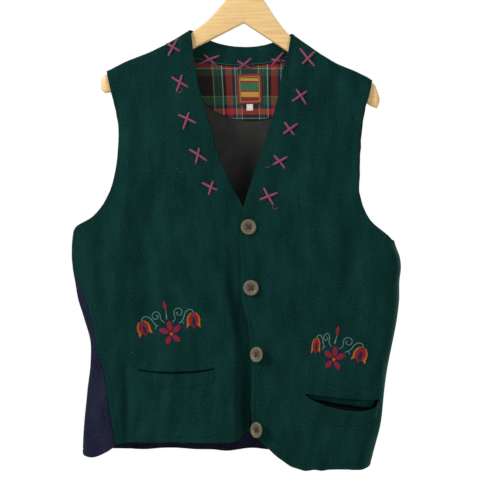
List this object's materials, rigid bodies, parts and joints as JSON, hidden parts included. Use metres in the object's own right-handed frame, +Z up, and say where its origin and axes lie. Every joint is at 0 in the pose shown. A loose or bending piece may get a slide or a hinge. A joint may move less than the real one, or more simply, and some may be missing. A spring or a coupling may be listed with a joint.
{
  "type": "folk dress vest on a clothes hanger",
  "caption": "V-necked boiled wool folk vest, embroidered and buttoned, with two welt pockets, hanging on a flat wooden hanger with a steel hook.",
  "frame": {"origin": "the inside top of the hook, where it rests on a rail", "axes": "+Z up, +X to the right of someone who looks at the fronts, the fronts face -Y"},
  "size_m": [0.5089, 0.1077, 0.8057],
  "materials": {
    "boiled_wool_green": "felted wool, matt",
    "boiled_wool_navy": "felted wool, matt",
    "lining_charcoal": "smooth woven lining",
    "tartan_flannel": "brushed flannel",
    "woven_label": "woven tape",
    "woven_size_tag": "woven tape",
    "horn_buttons": "polished imitation horn",
    "beech_hanger": "clear varnish",
    "steel_wire": "bright wire"
  },
  "bodies": {
    "root": {"front_left": "boiled_wool_green", "front_right": "boiled_wool_green", "back": "boiled_wool_navy", "neck_facing": "boiled_wool_green", "yoke": "tartan_flannel", "lining": "lining_charcoal", "label": "woven_label", "size_tag": "woven_size_tag", "welt_left": "boiled_wool_green", "welt_right": "boiled_wool_green", "pocket_bag_left": "lining_charcoal", "pocket_bag_right": "lining_charcoal", "button_1": "horn_buttons", "button_2": "horn_buttons", "button_3": "horn_buttons", "button_4": "horn_buttons", "hanger": "beech_hanger", "hook": "steel_wire"}
  },
  "joints": []
}
